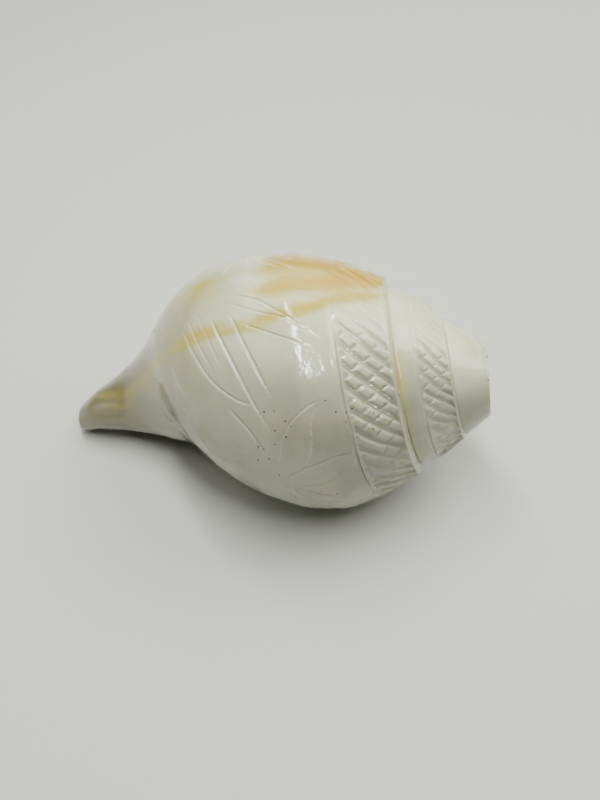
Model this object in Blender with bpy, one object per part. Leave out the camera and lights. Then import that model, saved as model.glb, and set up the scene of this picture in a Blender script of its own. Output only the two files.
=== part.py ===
"""A sacred chank shell, carved and polished, with its apex cut off and bored as a horn.

The shell is one grown piece, so it is one solid.  It is a right-handed spiral that gets
smaller by the same ratio on every turn.  A point on it is placed by s, the distance from the
canal tip along the coil axis, and by azimuth, the angle in degrees wound back from the lip
towards the apex: 0 is +Y, 90 is up, and every further turn adds 360.  The shell lies on its
aperture, with the apex towards +X.
"""
import math

import bmesh
import bpy
import numpy as np
from mathutils import Matrix, Vector

MM = 0.001

# ---- Driving dimensions, in millimetres and degrees ----
WHORL_RATIO = 1.597          # each turn is this many times the turn before it
POLE = 163.2                 # canal tip to the point that the spire winds into
CUT = 147.5                  # canal tip to the flat cut at the apex
SUTURE = 47.7                # pole to the upper edge of the whorl at the sizing azimuth
SIZE_AZIMUTH = 45.0          # azimuth at which the outline below is measured
LIP_AZIMUTH = -32.0          # where the growing edge stands: 0 is +Y and 90 is up
LIP_EASE = 0.05              # share of the normal growth that is left beside the lip
EASE_AZIMUTH = 25.0          # growth slackens from here to the lip
EASE_WIDTH = 12.0            # angle over which it slackens
LIP_FLARE = 0.8              # how far the lip turns out
FLARE_ANGLE = 35.0           # how far back from the lip that flare reaches

# Outline of the whorl at the sizing azimuth: distance from the pole, radius from the axis.
OUTLINE = ((33.0, 20.5), (40.0, 28.5), (47.7, 36.0), (52.0, 38.7), (60.0, 43.1), (70.0, 47.4), (80.0, 50.1),
           (92.0, 49.6), (104.0, 46.2), (114.0, 41.8), (122.0, 36.8), (129.0, 30.5),
           (135.0, 23.3), (141.0, 18.0), (149.0, 11.5), (157.0, 6.5), (165.0, 2.5))
INNER_FULLNESS = 4.2         # extra radius of the whorls above the last one
FULL_FROM = 225.0            # azimuths between which that fullness comes in
FULL_TO = 390.0
SLIMMING = 3.3               # the back of the last whorl is this much slimmer before the lip
SLIM_FROM = 40.0             # azimuths between which the slimming goes
SLIM_TO = 160.0
SLIM_PLACE = 82.0            # where it is strongest, from the canal tip
SLIM_REACH = 30.0

# The canal: distance from its tip, radius, and how far it sags below the coil axis.
CANAL = ((0.0, 3.6, 9.6), (1.2, 4.4, 9.1), (9.0, 5.9, 6.4), (20.0, 7.0, 6.4), (32.0, 10.2, 4.6),
         (45.0, 14.8, 1.7), (60.0, 16.0, 0.0), (90.0, 12.0, 0.0))
CANAL_BLEND = 3.0            # width of the fillet between canal and whorl
CANAL_REACH = 95.0           # the canal's core runs up inside the whorl as far as this
BURIED_FROM = 370.0          # angles past the lip between which that core thins to the pillar
BURIED_TO = 450.0
SAG_END = 60.0               # the canal's sag has gone by here

# The last turn before the cut is one smooth cone: distance from the canal tip, radius.
SPIRE_CONE = ((124.0, 25.5), (130.0, 23.0), (135.0, 20.4), (140.0, 17.2), (145.0, 13.4), (148.0, 10.9),
              (153.0, 6.5), (160.0, 2.0))
CONE_FROM = 600.0            # azimuths between which the spiral melts into that cone
CONE_TO = 690.0
CONE_LEAD = 12.0             # the cone's blend starts this far below the seam

BELLY_FLAT = 1.0             # how much the side under the shell is flattened
BELLY_HALF_ANGLE = 55.0      # how far round that flattening reaches
BELLY_STARTS = (40.0, 75.0)  # distances from the canal tip between which it comes in
BELLY_ENDS = (105.0, 125.0)  # and between which it goes
WORN_DEPTH = 0.7             # depth of the worn spots that the shell stands on

# Relief of the carved band, at the sizing azimuth.
BAND = 0.62                  # part of a whorl's exposed width that the lattice fills
CELLS = 40                   # lattice cells in one turn
CELL_HEIGHT = 1.6            # groove floor to the top of a stud
STUD_ABOVE = 0.35            # share of that height that stands above the plain whorl
BORDER_DEPTH = 0.7           # line cut along the band's lower edge
EDGE_RISE = 0.5              # rolled edge of the whorl above the step
CREASE_DEPTH = 0.7           # line cut at the foot of the step
CREASE_OFFSET = 0.5          # distance of that line from the whorl's edge
LIP_TUCK = 1.5               # how far the whorl's edge stands out over the step at the lip
LIP_TUCK_ANGLE = 25.0        # angle from the lip over which that goes
STEP_RUN = 1.3               # distance over which the step falls
BAND_END = 640.0             # azimuth where the carved band has faded out
BAND_FADE = 50.0

# The hollow.
WALL = 4.2                   # wall of the last whorl
WALL_AT_TIP = 1.7            # wall at the end of the canal
HOLLOW_SHOULDER = 5.0        # suture to the top of the hollow
COLUMELLA = 7.5              # central pillar inside the last whorl
HOLLOW_FOOT = 147.0          # pole to the foot of the hollow, at the sizing azimuth
HOLLOW_GAP = 1.0             # least width of the hollow
CHANNEL_FLOOR = 0.3          # how far the canal's channel bites into it, as a share of its radius
CALLUS = 0.5                 # glaze over the whorl inside the lip
MOUTH_ANGLE = 18.0           # how far the hollow's cutter runs on in front of the lip
MOUTH_OVERRUN = 4.0          # and past the canal tip
HOLLOW_END = 805.0           # azimuth where the hollow meets the bore
BORE_DIAMETER = 9.4
BORE_AZIMUTH = 85.0
BORE_OFFSET = 3.0            # centre of the bore from the coil axis, at the cut
BORE_END = 131.0             # canal tip to the inner end of the bore
BORE_DEPTH_RADIUS = 11.5     # and that end's distance from the coil axis
BORE_OVERRUN = 5.0           # how far the bore's cutter sticks out of the cut face
BORE_SIDES = 20

# How the shell lies.
PITCH = 13.0                 # coil axis above the horizontal, apex up
ROLL = 0.0
YAW = -6.0                   # apex towards -Y

# ---- Mesh steps ----
COLUMNS = 2 * CELLS
CANAL_ROWS = (0.0, 1.2, 6.0, 11.0, 16.0, 22.0)
BODY_ROWS = 9
BAND_ROWS = (1.0, 0.82, 0.67, BAND, 0.57, 0.455, 0.34, 0.225, 0.11, 0.0)
STUD_ROWS = (5, 6, 7, 8)     # rows of BAND_ROWS that carry studs
BORDER_ROW = 3               # row of BAND_ROWS that carries the border line
BLOCKS = 4
HOLLOW_STEP = 18.0
HOLLOW_POINTS = 7
SLAB = 400.0
SHARP_ANGLE = 12.0           # edges sharper than this are not shaded smooth


def smooth_curve(points):
    """Return f(x), a curve through the points that never overshoots them."""
    x = np.array([p[0] for p in points], float)
    y = np.array([p[1] for p in points], float)
    h = np.diff(x)
    d = np.diff(y) / h
    m = np.empty_like(x)
    m[0] = d[0]
    m[-1] = d[-1]
    for k in range(1, len(x) - 1):
        if d[k - 1] * d[k] <= 0.0:
            m[k] = 0.0
        else:
            w1 = 2.0 * h[k] + h[k - 1]
            w2 = h[k] + 2.0 * h[k - 1]
            m[k] = (w1 + w2) / (w1 / d[k - 1] + w2 / d[k])

    def curve(value):
        if value <= x[0]:
            return y[0] + m[0] * (value - x[0])
        if value >= x[-1]:
            return y[-1] + m[-1] * (value - x[-1])
        k = int(np.searchsorted(x, value, side="right")) - 1
        u = (value - x[k]) / h[k]
        rise = y[k] * (1 + 2 * u) * (1 - u) ** 2 + y[k + 1] * u * u * (3 - 2 * u)
        return rise + h[k] * (m[k] * u * (1 - u) ** 2 + m[k + 1] * u * u * (u - 1))

    return curve


def smooth_step(low, high, value):
    u = min(max((value - low) / (high - low), 0.0), 1.0)
    return u * u * (3.0 - 2.0 * u)


outline = smooth_curve(OUTLINE)
canal_radius = smooth_curve([(s, r) for s, r, sag in CANAL])
canal_sag = smooth_curve([(s, sag) for s, r, sag in CANAL])
spire_cone = smooth_curve(SPIRE_CONE)


def scale(azimuth):
    """Size of the whorl at an azimuth, against the sizing azimuth."""
    slack = EASE_WIDTH * math.log1p(math.exp((EASE_AZIMUTH - azimuth) / EASE_WIDTH))
    eased = azimuth + (1.0 - LIP_EASE) * slack
    return WHORL_RATIO ** (-(eased - SIZE_AZIMUTH) / 360.0)


def suture(azimuth):
    """Where the whorl's upper edge lies."""
    return POLE - SUTURE * scale(azimuth)


def whorl_radius(s, azimuth):
    """Outside radius of the spiral whorl, before the canal and the cone are blended in."""
    g = scale(azimuth)
    radius = outline((POLE - s) / g)
    past = max((POLE - s) / g / SUTURE - 1.0, 0.0) / (WHORL_RATIO - 1.0)
    radius += INNER_FULLNESS * smooth_step(FULL_FROM, FULL_TO, azimuth) * (past * math.exp(1.0 - past)) ** 1.5
    flare = 1.0 - smooth_step(LIP_AZIMUTH, LIP_AZIMUTH + FLARE_ANGLE, azimuth)
    radius += LIP_FLARE * flare * smooth_step(15.0, 45.0, s)
    bell = max(1.0 - ((s - SLIM_PLACE) / SLIM_REACH) ** 2, 0.0) ** 2
    radius -= SLIMMING * bell * (1.0 - smooth_step(SLIM_FROM, SLIM_TO, azimuth))
    return radius * g


def radius_at(s, azimuth):
    """Outside radius of the shell on the whorl that passes an azimuth."""
    radius = whorl_radius(s, azimuth)
    if s < CANAL_REACH:
        buried = smooth_step(LIP_AZIMUTH + BURIED_FROM, LIP_AZIMUTH + BURIED_TO, azimuth)
        neck = canal_radius(s) * (1.0 - buried) + COLUMELLA * scale(azimuth - 360.0) * buried
        radius = 0.5 * (radius + neck + math.sqrt((radius - neck) ** 2 + CANAL_BLEND ** 2))
    cone = smooth_step(CONE_FROM, CONE_TO, azimuth)
    if cone > 0.0:
        covered_to = suture(azimuth - 360.0)
        cone *= smooth_step(covered_to - CONE_LEAD, covered_to, s)
        radius += cone * (spire_cone(s) - radius)
    turned = (azimuth + 90.0 + 180.0) % 360.0 - 180.0
    under = 1.0 - smooth_step(0.0, BELLY_HALF_ANGLE, abs(turned))
    if azimuth > 180.0:
        radius -= BELLY_FLAT * under * smooth_step(*BELLY_STARTS, s) * (1.0 - smooth_step(*BELLY_ENDS, s))
    return radius


def point(s, radius, azimuth):
    """Place a point, in metres, in the shell's own upright frame with the axis along +X."""
    a = math.radians(azimuth)
    return Vector((s, radius * math.cos(a), radius * math.sin(a) - canal_sag_at(s))) * MM


def canal_sag_at(s):
    return max(canal_sag(s), 0.0) if s < SAG_END else 0.0


# ---- Outer surface ----
def band_relief(row, column, azimuth):
    """Height of the carving over the plain whorl, at one grid point."""
    strength = 1.0 - smooth_step(BAND_END - BAND_FADE, BAND_END, azimuth)
    if row in STUD_ROWS:
        high = (row + column) % 2 == 0
        return strength * (STUD_ABOVE if high else STUD_ABOVE - 1.0) * CELL_HEIGHT
    if row == BORDER_ROW:
        return -strength * BORDER_DEPTH
    if row == len(BAND_ROWS) - 1:
        return strength * EDGE_RISE
    return 0.0


def band_place(block, row, azimuth):
    """Distance along the axis of a row of the exposed part of a whorl."""
    high = suture(azimuth)
    if block > 0 or azimuth >= LIP_AZIMUTH + 360.0 - 1e-6:
        low = suture(azimuth - 360.0) + STEP_RUN * scale(azimuth - 360.0)
    else:
        meet = smooth_step(LIP_AZIMUTH + 230.0, LIP_AZIMUTH + 360.0, azimuth)
        seam = (SUTURE * scale(LIP_AZIMUTH) - STEP_RUN * scale(LIP_AZIMUTH)) / scale(LIP_AZIMUTH + 360.0)
        low = POLE - scale(azimuth) * (SUTURE * WHORL_RATIO * (1.0 - meet) + seam * meet)
    return high + (low - high) * BAND_ROWS[row]


def outer_shell(bm):
    """Wind a grid of rows round the shell, each turn joined to the next."""
    columns = []
    for i in range(COLUMNS + 1):
        base = LIP_AZIMUTH + 360.0 * i / COLUMNS
        body = []
        for s in CANAL_ROWS:
            body.append(point(s, radius_at(s, base), base))
        cover = band_place(0, 0, base)
        for k in range(1, BODY_ROWS):
            s = CANAL_ROWS[-1] + (cover - CANAL_ROWS[-1]) * k / BODY_ROWS
            body.append(point(s, radius_at(s, base), base))
        columns.append(body)

    bands = []
    for block in range(BLOCKS):
        for i in range(COLUMNS if block < BLOCKS - 1 else COLUMNS + 1):
            azimuth = LIP_AZIMUTH + 360.0 * (block + i / COLUMNS)
            rows = []
            for row in range(len(BAND_ROWS)):
                s = band_place(block, row, azimuth)
                relief = band_relief(row, i, azimuth) * scale(azimuth)
                if block == 0 and i == 0:
                    relief = 0.0
                rows.append(point(s, radius_at(s, azimuth) + relief, azimuth))
            g = scale(azimuth)
            s = suture(azimuth) + CREASE_OFFSET * g
            fade = smooth_step(LIP_AZIMUTH + 1.0, LIP_AZIMUTH + LIP_TUCK_ANGLE, azimuth)
            fade *= 1.0 - smooth_step(CONE_FROM - 60.0, CONE_TO - 30.0, azimuth)
            depth = CREASE_DEPTH * g * fade
            if azimuth < LIP_AZIMUTH + LIP_TUCK_ANGLE:
                depth -= (1.0 - fade) * LIP_TUCK
            rows.append(point(s, radius_at(s, azimuth + 360.0) - depth, azimuth))
            bands.append([bm.verts.new(p) for p in rows])

    body_verts = [[bm.verts.new(p) for p in body] for body in columns]
    body_verts[-1][0] = body_verts[0][0]
    for i in range(COLUMNS):
        for k in range(len(body_verts[0]) - 1):
            quad(bm, body_verts[i][k], body_verts[i + 1][k], body_verts[i + 1][k + 1], body_verts[i][k + 1])
        quad(bm, body_verts[i][-1], body_verts[i + 1][-1], bands[i + 1][0], bands[i][0])

    last = len(bands) - 1
    for j in range(last):
        for row in range(len(BAND_ROWS)):
            a, b, c, d = bands[j][row], bands[j + 1][row], bands[j + 1][row + 1], bands[j][row + 1]
            quad(bm, a, b, c, d, flip=(row + j) % 2 == 0)
        above = j + COLUMNS
        if above + 1 <= last:
            quad(bm, bands[j][-1], bands[j + 1][-1], bands[above + 1][0], bands[above][0])

    tip = bm.verts.new(point(0.0, 0.0, 0.0))
    for i in range(COLUMNS):
        triangle(bm, tip, body_verts[i + 1][0], body_verts[i][0])

    pole = bm.verts.new(point(POLE, 0.0, 0.0))
    rim = [bands[j][-1] for j in range(last - COLUMNS, last + 1)]
    for a, b in zip(rim, rim[1:]):
        triangle(bm, a, b, pole)
    seam = [bands[last][row] for row in range(len(BAND_ROWS) + 1)]
    start = bands[last - COLUMNS][-1]
    triangle(bm, start, pole, seam[0])
    for a, b in zip(seam, seam[1:]):
        triangle(bm, a, pole, b)

    lip_edge = body_verts[0] + bands[0] + [bands[COLUMNS][0]]
    inner_edge = body_verts[-1] + [bands[COLUMNS][0]]
    zip_edges(bm, lip_edge, inner_edge)


def quad(bm, a, b, c, d, flip=False):
    """Add two triangles; flip picks the other diagonal."""
    if flip:
        triangle(bm, a, b, c)
        triangle(bm, a, c, d)
    else:
        triangle(bm, a, b, d)
        triangle(bm, b, c, d)


def triangle(bm, a, b, c):
    if len({a, b, c}) == 3:
        bm.faces.new((a, b, c))


def zip_edges(bm, first, second):
    """Fill the flat strip between two rows of points that share both ends."""
    i = 0
    j = 0
    while i < len(first) - 1 or j < len(second) - 1:
        step_first = j == len(second) - 1
        if not step_first and i < len(first) - 1:
            step_first = first[i + 1].co.x <= second[j + 1].co.x
        if step_first:
            triangle(bm, first[i], first[i + 1], second[j])
            i += 1
        else:
            triangle(bm, first[i], second[j + 1], second[j])
            j += 1


def new_object(name, build):
    """Make a closed mesh object from a function that fills a bmesh."""
    bm = bmesh.new()
    build(bm)
    bmesh.ops.remove_doubles(bm, verts=bm.verts, dist=1e-6)
    bmesh.ops.recalc_face_normals(bm, faces=bm.faces)
    if bm.calc_volume(signed=True) < 0.0:
        bmesh.ops.reverse_faces(bm, faces=bm.faces)
    mesh = bpy.data.meshes.new(name)
    bm.to_mesh(mesh)
    bm.free()
    obj = bpy.data.objects.new(name, mesh)
    bpy.context.scene.collection.objects.link(obj)
    return obj


# ---- Hollow ----
def hollow_outline(azimuth):
    """Closed outline of the hollow at an azimuth, as (s, radius) pairs."""
    g = scale(azimuth)
    top = suture(azimuth) - HOLLOW_SHOULDER * g
    closed = POLE - HOLLOW_FOOT * g
    channel = 1.0 - smooth_step(LIP_AZIMUTH + 40.0, LIP_AZIMUTH + 110.0, azimuth)
    bottom = closed + (-MOUTH_OVERRUN - closed) * channel
    outer = []
    inner = []
    for k in range(HOLLOW_POINTS):
        s = bottom + (top - bottom) * k / (HOLLOW_POINTS - 1)
        at = max(s, 0.5)
        wall = WALL_AT_TIP + (WALL - WALL_AT_TIP) * smooth_step(0.0, 45.0, s)
        floor = radius_at(at, azimuth + 360.0)
        floor *= 1.0 - channel * (1.0 - CHANNEL_FLOOR) * (1.0 - smooth_step(0.0, 40.0, s))
        floor = max(floor, COLUMELLA * g * smooth_step(25.0, 50.0, s)) + CALLUS * min(g, 1.0)
        ceiling = radius_at(at, max(azimuth, LIP_AZIMUTH)) - wall * g
        outer.append((s, ceiling))
        inner.append((s, min(floor, ceiling - HOLLOW_GAP * g)))
    return outer + inner[::-1]


def hollow(bm):
    """Sweep the hollow from outside the lip up into the spire."""
    start = LIP_AZIMUTH - MOUTH_ANGLE
    steps = math.ceil((HOLLOW_END - start) / HOLLOW_STEP)
    rings = []
    for k in range(steps + 1):
        azimuth = start + (HOLLOW_END - start) * k / steps
        rings.append([bm.verts.new(point(s, r, azimuth)) for s, r in hollow_outline(azimuth)])
    for a, b in zip(rings, rings[1:]):
        for m in range(len(a)):
            n = (m + 1) % len(a)
            quad(bm, a[m], a[n], b[n], b[m])
    for ring in (rings[0], rings[-1]):
        count = len(ring)
        for m in range(count // 2 - 1):
            quad(bm, ring[m], ring[m + 1], ring[count - 2 - m], ring[count - 1 - m])


def blow_hole(bm):
    """A straight bore from the cut face down to the end of the hollow."""
    inside = point(BORE_END, BORE_DEPTH_RADIUS, BORE_AZIMUTH)
    mouth = point(CUT, BORE_OFFSET, BORE_AZIMUTH)
    along = (mouth - inside).normalized()
    outside = mouth + along * BORE_OVERRUN * MM
    turn = along.to_track_quat("Z", "Y").to_matrix().to_4x4()
    place = Matrix.Translation((inside + outside) / 2.0) @ turn
    half = BORE_DIAMETER / 2.0 * MM
    bmesh.ops.create_cone(bm, cap_ends=True, segments=BORE_SIDES, radius1=half, radius2=half,
                          depth=(outside - inside).length, matrix=place)


def slab(bm):
    """A block whose lower corner is its origin corner in X and its middle in Y and Z."""
    bmesh.ops.create_cube(bm, size=SLAB * MM, matrix=Matrix.Translation((SLAB / 2.0 * MM, 0.0, 0.0)))


def cut_away(target, cutter):
    """Take one closed shape out of another and leave the cutter as a hidden guide."""
    cutter.hide_render = True
    cutter.display_type = "WIRE"
    modifier = target.modifiers.new("without " + cutter.name, "BOOLEAN")
    modifier.operation = "DIFFERENCE"
    modifier.solver = "EXACT"
    modifier.object = cutter


def shell_material():
    """Polished shell: warm white, with the gloss of porcelain."""
    material = bpy.data.materials.new("polished shell")
    material.use_nodes = True
    shader = material.node_tree.nodes["Principled BSDF"]
    shader.inputs["Base Color"].default_value = (0.80, 0.76, 0.66, 1.0)
    shader.inputs["Roughness"].default_value = 0.22
    shader.inputs["Metallic"].default_value = 0.0
    return material


def lie_down(obj):
    """Turn the shell to how it lies, centre it, and sink its worn spots to the ground."""
    turn = Matrix.Rotation(math.radians(YAW), 4, "Z")
    turn = turn @ Matrix.Rotation(math.radians(-PITCH), 4, "Y")
    turn = turn @ Matrix.Rotation(math.radians(ROLL), 4, "X")
    corners = [turn @ v.co for v in obj.data.vertices if v.co.x <= CUT * MM]
    low = [min(c[k] for c in corners) for k in range(3)]
    high = [max(c[k] for c in corners) for k in range(3)]
    shift = Vector((-(low[0] + high[0]) / 2.0, -(low[1] + high[1]) / 2.0, -low[2] - WORN_DEPTH * MM))
    return Matrix.Translation(shift) @ turn


def main():
    for obj in list(bpy.data.objects):
        bpy.data.objects.remove(obj, do_unlink=True)
    shell = new_object("shell", outer_shell)
    shell.data.materials.append(shell_material())
    apex = new_object("apex cut", slab)
    cavity = new_object("hollow", hollow)
    bore = new_object("blow hole", blow_hole)
    ground = new_object("ground", slab)

    place = lie_down(shell)
    for obj in (shell, cavity, bore):
        obj.matrix_world = place
    apex.matrix_world = place @ Matrix.Translation((CUT * MM, 0.0, 0.0))
    ground.matrix_world = Matrix.Rotation(math.radians(90.0), 4, "Y")
    for cutter in (apex, cavity, bore, ground):
        cut_away(shell, cutter)
    shell.data.shade_smooth()
    shell.data.set_sharp_from_angle(angle=math.radians(SHARP_ANGLE))


main()
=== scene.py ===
"""Looks of a sacred chank shell: carved, polished, cut at the apex and bored as a horn.

The CAD node gives the place and size.  The shell here is the same winding surface, made fine
enough to carry the cut leaves, the lattice band, the rounded lip and the pleats inside.
A place on it is s, the distance in millimetres from the canal tip along the coil axis, and
azimuth, the angle in degrees wound back from the lip: 0 is the far side and 90 is up.
"""
import math

import bmesh
import bpy
import numpy as np
from mathutils import Matrix, Vector


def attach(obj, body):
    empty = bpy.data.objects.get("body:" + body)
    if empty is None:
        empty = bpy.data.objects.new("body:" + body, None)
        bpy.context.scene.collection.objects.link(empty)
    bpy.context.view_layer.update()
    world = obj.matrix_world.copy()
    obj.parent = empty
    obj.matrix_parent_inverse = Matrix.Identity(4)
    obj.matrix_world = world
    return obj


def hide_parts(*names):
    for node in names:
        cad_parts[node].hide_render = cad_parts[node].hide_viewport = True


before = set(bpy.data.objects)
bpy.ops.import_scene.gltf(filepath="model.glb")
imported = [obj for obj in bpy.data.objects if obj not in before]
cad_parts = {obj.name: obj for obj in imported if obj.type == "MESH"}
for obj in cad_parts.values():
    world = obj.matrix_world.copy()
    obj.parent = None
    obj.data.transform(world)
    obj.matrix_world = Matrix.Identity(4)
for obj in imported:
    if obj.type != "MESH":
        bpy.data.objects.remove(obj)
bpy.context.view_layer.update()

MM = 0.001

# ---- The shell's form, in millimetres and degrees: the same values as the CAD ----
WHORL_RATIO = 1.597  # each turn to the turn before it
POLE = 163.2  # canal tip to the point that the spire winds into
CUT = 147.5  # canal tip to the flat cut at the apex
SUTURE = 47.7  # pole to the upper edge of the whorl at the sizing azimuth
SIZE_AZIMUTH = 45.0  # azimuth where the outline below is measured
LIP_AZIMUTH = -32.0  # where the growing edge stands
LIP_EASE = 0.05  # share of the growth left beside the lip
EASE_AZIMUTH = 25.0  # growth slackens from here to the lip
EASE_WIDTH = 12.0  # angle over which it slackens
LIP_FLARE = 0.8  # how far the lip turns out
FLARE_ANGLE = 35.0  # how far back from the lip that flare reaches
FLARE_STARTS = (15.0, 45.0)  # s between which it comes in

# Outline of the whorl at the sizing azimuth: distance from the pole, radius from the axis
OUTLINE = ((33.0, 20.5), (40.0, 28.5), (47.7, 36.0), (52.0, 38.7), (60.0, 43.1), (70.0, 47.4), (80.0, 50.1),
           (92.0, 49.6), (104.0, 46.2), (114.0, 41.8), (122.0, 36.8), (129.0, 30.5),
           (135.0, 23.3), (141.0, 18.0), (149.0, 11.5), (157.0, 6.5), (165.0, 2.5))
INNER_FULLNESS = 4.2  # extra radius of the whorls above the last one
FULL_FROM = 225.0  # azimuths between which that fullness comes in
FULL_TO = 390.0
SLIMMING = 3.3  # of the last whorl's back before the lip
SLIM_FROM = 40.0  # azimuths between which the slimming goes
SLIM_TO = 160.0
SLIM_PLACE = 82.0  # where it is strongest, from the canal tip
SLIM_REACH = 30.0

# The canal: distance from its tip, radius, and how far it sags below the coil axis
CANAL = ((0.0, 3.6, 9.6), (1.2, 4.4, 9.1), (9.0, 5.9, 6.4), (20.0, 7.0, 6.4), (32.0, 10.2, 4.6),
         (45.0, 14.8, 1.7), (60.0, 16.0, 0.0), (90.0, 12.0, 0.0))
CANAL_BLEND = 3.0  # width of the fillet between canal and whorl
CANAL_REACH = 95.0  # how far up the canal's core runs
BURIED_FROM = 370.0  # angles past the lip where it thins to the pillar
BURIED_TO = 450.0
SAG_END = 60.0  # the canal's sag has gone by here

# The last turn before the cut is one smooth cone: distance from the canal tip, radius
SPIRE_CONE = ((124.0, 25.5), (130.0, 23.0), (135.0, 20.4), (140.0, 17.2), (145.0, 13.4), (148.0, 10.9),
              (153.0, 6.5), (160.0, 2.0))
CONE_FROM = 600.0  # azimuths between which the spiral melts into that cone
CONE_TO = 690.0
CONE_LEAD = 12.0  # the cone's blend starts this far below the seam
BELLY_FLAT = 1.0  # how much the side under the shell is flattened
BELLY_HALF_ANGLE = 55.0  # how far round that flattening reaches
BELLY_STARTS = (40.0, 75.0)  # s between which it comes in
BELLY_ENDS = (105.0, 125.0)  # and between which it goes
PITCH = 13.0  # coil axis above the horizontal, apex up
YAW = -6.0  # apex towards -Y
AXIS_PLACE = (-73.3935, 4.7666, 14.1711)  # where s = 0 on the coil axis lies in the frame

# ---- Carved band ----
BAND = 0.60  # part of a whorl's exposed width that the lattice fills
BAND_END = 640.0  # azimuth where the carving has faded out
BAND_FADE = 50.0
CUTS = 38  # long slanting cuts in the last turn, and as many cross cuts
CUTS_ABOVE = 34  # in the turn above it
COUNT_CHANGE = 368.0  # azimuth where the one follows the other
LONG_LEAN = 22.5  # angle gained from the border to the edge
LONG_PLACE = 131.5  # azimuth where one long cut meets the edge
LONG_PLACE_ABOVE = 492.0  # the same in the turn above
LONG_DEPTH = 1.35
LONG_WIDTH = 0.74  # in cells
CROSS_LEAN = -21.0  # the same angle of a cross cut
CROSS_PLACE = 117.0
CROSS_DEPTH = 0.85
CROSS_WIDTH = 0.42  # in cells
BAR_SLOPE = 0.28  # rise of a bar from one side to the other
SUNK = 0.22  # depth of the whole lattice
SHALLOW = (178.0, 24.0, 0.5)  # shallower cuts: azimuth, reach, share
LIGHT_PATCH = (58.0, 66.0, 96.0, 116.0)  # azimuths of the finely cut part
LIGHT_LEAN = 4.0  # its lean across the band
LIGHT_SHARE = 0.16  # share of the depth left there
LIGHT_NARROWING = 0.62  # and of the width missing
BORDER_WORN = 0.65  # share of the border missing there
BORDER_DEPTH = 0.6  # line along the band's lower edge
BORDER_LINES = ((1.1, 0.5), (1.9, 0.3))  # patchy lines beside it: distance, share of its depth
EDGE_RISE = 0.45  # rolled edge above the step, and its breadth
EDGE_WIDTH = 1.3
EDGE_ROUND = 0.5
CREASE_DEPTH = 0.55  # line cut at the foot of the step
CREASE_ROWS = ((0.25, 0.6), (0.5, 1.0), (0.8, 0.55), (1.05, 0.2))  # distance from the edge, share of depth
STEP_RUN = 1.3  # distance over which the step falls
LIP_TUCK = 1.5  # how far the edge stands out at the lip
LIP_TUCK_ANGLE = 25.0  # angle over which that goes
CUT_ROUND = 0.7  # of the apex cut's edge, and its share
CUT_ROUND_SHARE = 0.8
TIP_ROUND = 0.25  # and of the canal tip
CHIPS = (90.0, 130.0)  # azimuths of chips in the apex cut's edge
CHIP_DEPTH = 0.7
CHIP_WIDTH = 2.2  # in degrees
CHIP_HEIGHT = 1.0

# ---- The hollow: the same values as the CAD, but with a rounded lip and pleats ----
WALL = 4.2  # wall of the last whorl
WALL_AT_TIP = 1.7  # wall at the end of the canal
HOLLOW_SHOULDER = 5.0  # suture to the top of the hollow
COLUMELLA = 7.5  # central pillar inside the last whorl
HOLLOW_FOOT = 147.0  # pole to the foot of the hollow, at the sizing azimuth
HOLLOW_GAP = 1.0  # least width of the hollow
CHANNEL_FLOOR = 0.3  # share of its radius left in the canal
CALLUS = 0.5  # glaze over the whorl inside the lip
MOUTH_ANGLE = 18.0  # how far its cutter runs on before the lip
MOUTH_OVERRUN = 4.0  # and past the canal tip
HOLLOW_END = 805.0  # azimuth where the hollow meets the bore
BORE_DIAMETER = 9.4
BORE_AZIMUTH = 85.0
BORE_OFFSET = 3.0  # centre of the bore from the coil axis, at the cut
BORE_END = 131.0  # canal tip to the inner end of the bore
BORE_DEPTH_RADIUS = 11.5  # and that end's distance from the coil axis
BORE_OVERRUN = 5.0  # how far its cutter sticks out
BORE_SIDES = 64
LIP_ROUND = 1.5
PLEATS = (98.0, 106.0, 113.0)  # pleats on the pillar: distance from the pole at the sizing azimuth
PLEAT_HEIGHT = 1.1
PLEAT_WIDTH = 1.5

# ---- Mesh steps ----
# Azimuths and degrees to a column: finest where the leaves and the lattice face the viewer
AZIMUTH_STEPS = ((LIP_AZIMUTH, 55.0, 1.0), (55.0, 215.0, 0.42), (215.0, LIP_AZIMUTH + 360.0, 1.0))
BODY_ROWS = 220
BAND_ROWS = 56
TURNS = 3
HOLLOW_STEP = 4.0
HOLLOW_POINTS = 34
OUTSIDE_FACES = 156000  # triangles left of the outside
SLAB = 400.0  # side of the blocks that cut flats
SHARP_ANGLE = 38.0  # edges sharper than this are not shaded smooth

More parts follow.
